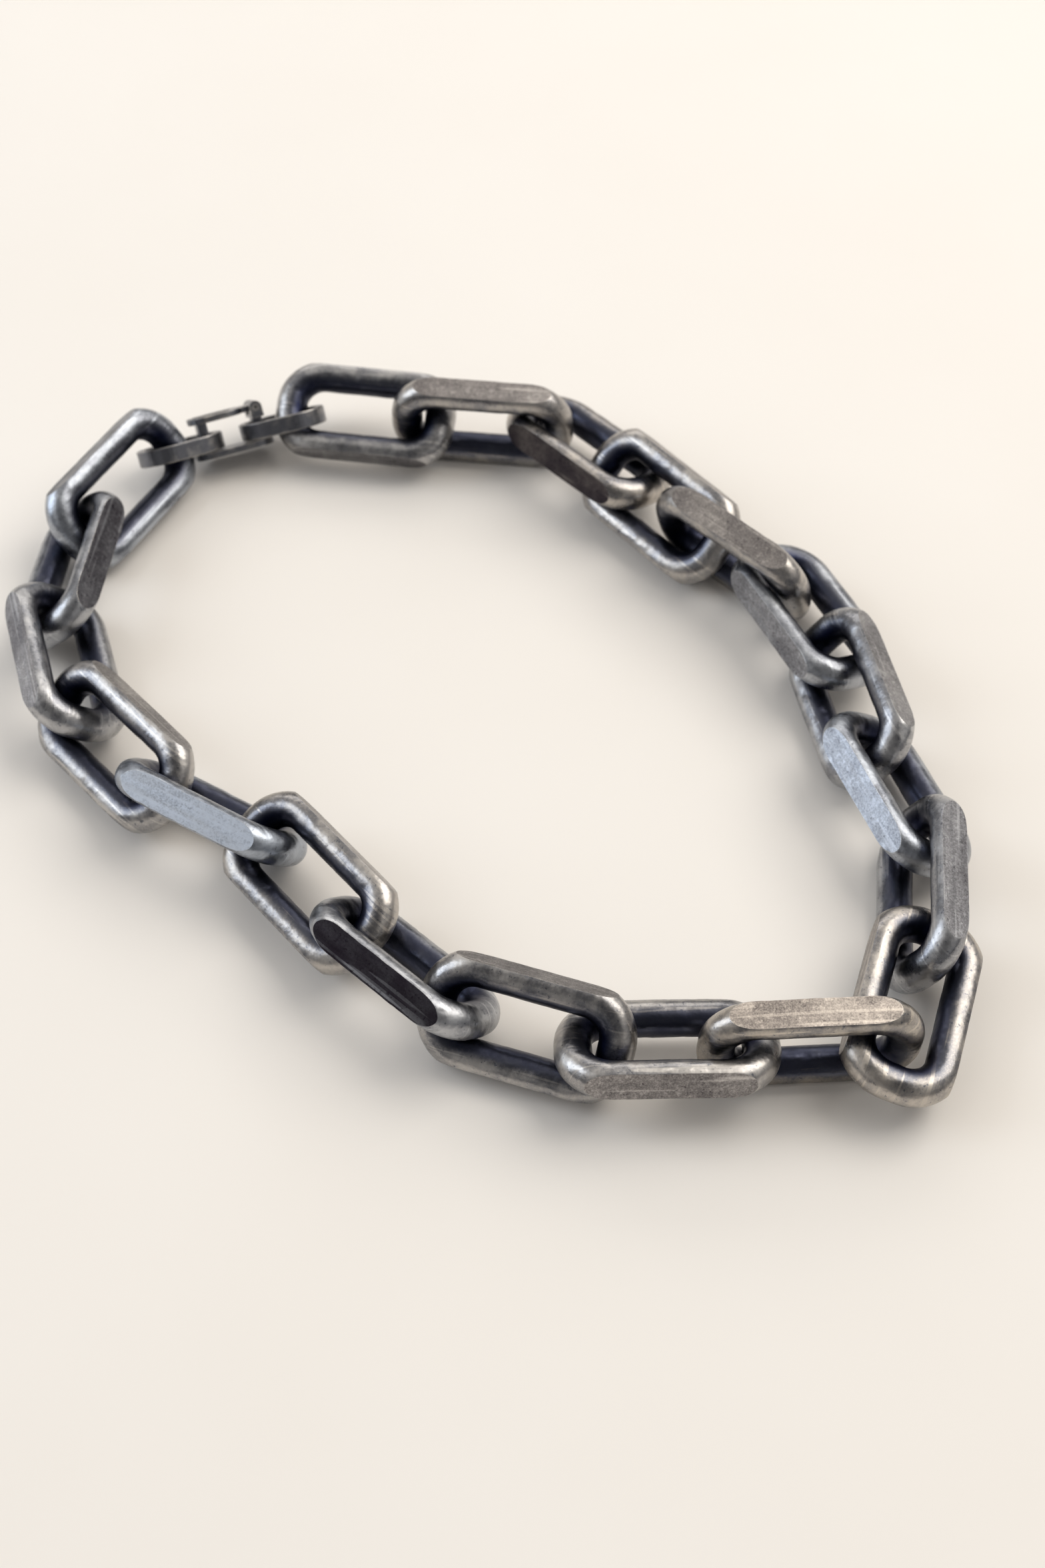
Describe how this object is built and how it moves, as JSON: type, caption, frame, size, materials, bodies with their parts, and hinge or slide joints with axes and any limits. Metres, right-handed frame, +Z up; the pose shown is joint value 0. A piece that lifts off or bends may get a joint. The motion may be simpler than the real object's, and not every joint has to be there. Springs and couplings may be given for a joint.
{
  "type": "chain bracelet",
  "caption": "Closed chain bracelet of oblong round-wire links with ground side faces, joined by a small fold-over clasp with strip rings, lying in a loose loop.",
  "frame": {"origin": "middle of the loop's outline, on the surface the bracelet lies on", "axes": "+Z up from that surface; the loop lies in XY with its clasp at -X +Y"},
  "size_m": [0.0686, 0.0658, 0.0075],
  "materials": {
    "link_silver": "oxidised, satin ground faces, worn bright on raised edges",
    "clasp_silver": "oxidised satin",
    "pin_silver": "satin"
  },
  "bodies": {
    "link_01": {"link_01": "link_silver"},
    "link_02": {"link_02": "link_silver"},
    "link_03": {"link_03": "link_silver"},
    "link_04": {"link_04": "link_silver"},
    "link_05": {"link_05": "link_silver"},
    "link_06": {"link_06": "link_silver"},
    "link_07": {"link_07": "link_silver"},
    "link_08": {"link_08": "link_silver"},
    "link_09": {"link_09": "link_silver"},
    "link_10": {"link_10": "link_silver"},
    "link_11": {"link_11": "link_silver"},
    "link_12": {"link_12": "link_silver"},
    "link_13": {"link_13": "link_silver"},
    "link_14": {"link_14": "link_silver"},
    "link_15": {"link_15": "link_silver"},
    "link_16": {"link_16": "link_silver"},
    "link_17": {"link_17": "link_silver"},
    "link_18": {"link_18": "link_silver"},
    "link_19": {"link_19": "link_silver"},
    "link_20": {"link_20": "link_silver"},
    "clasp_ring_first": {"clasp_ring_first": "clasp_silver"},
    "clasp_ring_last": {"clasp_ring_last": "clasp_silver"},
    "clasp_body": {"clasp_base": "clasp_silver", "clasp_pin": "pin_silver"},
    "clasp_arm": {"clasp_arm": "clasp_silver"}
  },
  "joints": [
    {"name": "link_10_to_link_09", "type": "hinge", "parent": "link_10", "child": "link_09", "pos_m": [0.0186, -0.02783, 0.00304], "axis": [-0.6269, 0.7791, 0.0056], "range_deg": [-7, 14]},
    {"name": "link_09_to_link_08", "type": "hinge", "parent": "link_09", "child": "link_08", "pos_m": [0.0067, -0.02944, 0.00355], "axis": [0.4922, -0.8705, 0.002], "range_deg": [-5, 5]},
    {"name": "link_08_to_link_07", "type": "hinge", "parent": "link_08", "child": "link_07", "pos_m": [0.00056, -0.02652, 0.00299], "axis": [0.4324, -0.9016, -0.0075], "range_deg": [-10, 7]},
    {"name": "link_07_to_link_06", "type": "hinge", "parent": "link_07", "child": "link_06", "pos_m": [-0.00887, -0.01906, 0.00371], "axis": [0.3295, -0.9442, 0.0059], "range_deg": [-9, 16]},
    {"name": "link_06_to_link_05", "type": "hinge", "parent": "link_06", "child": "link_05", "pos_m": [-0.01462, -0.01122, 0.00218], "axis": [0.258, -0.9656, -0.0325], "range_deg": [-17, 6]},
    {"name": "link_05_to_link_04", "type": "hinge", "parent": "link_05", "child": "link_04", "pos_m": [-0.02107, -0.00904, 0.0034], "axis": [-0.0981, 0.9952, 0.0007], "range_deg": [-16, 14]},
    {"name": "link_04_to_link_03", "type": "hinge", "parent": "link_04", "child": "link_03", "pos_m": [-0.02827, -0.00318, 0.00229], "axis": [0.1294, 0.9908, 0.039], "range_deg": [-2, 7]},
    {"name": "link_03_to_link_02", "type": "hinge", "parent": "link_03", "child": "link_02", "pos_m": [-0.03117, 0.00605, 0.0034], "axis": [0.3213, 0.947, 0.0013], "range_deg": [-7, 1]},
    {"name": "link_02_to_link_01", "type": "hinge", "parent": "link_02", "child": "link_01", "pos_m": [-0.0305, 0.01534, 0.00343], "axis": [0.5, 0.866, 0], "range_deg": [-10, 0]},
    {"name": "link_10_to_link_11", "type": "hinge", "parent": "link_10", "child": "link_11", "pos_m": [0.02471, -0.02836, 0.00529], "axis": [-0.6727, 0.7395, -0.0255], "range_deg": [-15, 8]},
    {"name": "link_11_to_link_12", "type": "hinge", "parent": "link_11", "child": "link_12", "pos_m": [0.02842, -0.01968, 0.0011], "axis": [0.7584, -0.6509, -0.0333], "range_deg": [-14, 20]},
    {"name": "link_12_to_link_13", "type": "hinge", "parent": "link_12", "child": "link_13", "pos_m": [0.03047, -0.01466, 0.00412], "axis": [0.8058, -0.5921, 0.0101], "range_deg": [-14, 13]},
    {"name": "link_13_to_link_14", "type": "hinge", "parent": "link_13", "child": "link_14", "pos_m": [0.02629, -0.00346, 0.00242], "axis": [-0.8669, 0.4982, 0.0172], "range_deg": [-19, 14]},
    {"name": "link_14_to_link_15", "type": "hinge", "parent": "link_14", "child": "link_15", "pos_m": [0.02825, 0.0024, 0.00577], "axis": [-0.9138, 0.4041, -0.0406], "range_deg": [-11, 13]},
    {"name": "link_15_to_link_16", "type": "hinge", "parent": "link_15", "child": "link_16", "pos_m": [0.02193, 0.01284, 0.0034], "axis": [0.9636, -0.2675, -0.0005], "range_deg": [-16, 1]},
    {"name": "link_16_to_link_17", "type": "hinge", "parent": "link_16", "child": "link_17", "pos_m": [0.01862, 0.01496, 0.00091], "axis": [0.9686, -0.242, -0.0565], "range_deg": [-16, 1]},
    {"name": "link_17_to_link_18", "type": "hinge", "parent": "link_17", "child": "link_18", "pos_m": [0.01424, 0.02174, 0.00541], "axis": [-0.9934, 0.1023, -0.0509], "range_deg": [-3, 5]},
    {"name": "link_18_to_link_19", "type": "hinge", "parent": "link_18", "child": "link_19", "pos_m": [0.00347, 0.02651, 0.00414], "axis": [0.9993, 0.0279, 0.0256], "range_deg": [-1, 7]},
    {"name": "link_19_to_link_20", "type": "hinge", "parent": "link_19", "child": "link_20", "pos_m": [-0.00321, 0.02695, 0.00304], "axis": [-0.9982, -0.0571, 0.0183], "range_deg": [-7, 1]},
    {"name": "link_20_to_ring_last", "type": "hinge", "parent": "link_20", "child": "clasp_ring_last", "pos_m": [-0.01494, 0.02942, 0.0034], "axis": [0.9328, 0.3603, -0.0025], "range_deg": [-9, 2]},
    {"name": "ring_last_to_base", "type": "hinge", "parent": "clasp_ring_last", "child": "clasp_body", "pos_m": [-0.01766, 0.02837, 0.0023], "axis": [0.922, 0.3562, -0.152], "range_deg": [-5, 5]},
    {"name": "base_to_ring_first", "type": "hinge", "parent": "clasp_body", "child": "clasp_ring_first", "pos_m": [-0.02174, 0.02672, 0.00222], "axis": [-0.8698, -0.3142, 0.3803], "range_deg": [-4, 4]},
    {"name": "clasp_arm_hinge", "type": "hinge", "parent": "clasp_body", "child": "clasp_arm", "pos_m": [-0.01806, 0.02939, 0.0036], "axis": [-0.276, 0.7146, -0.6428], "range_deg": [0, 100]}
  ]
}
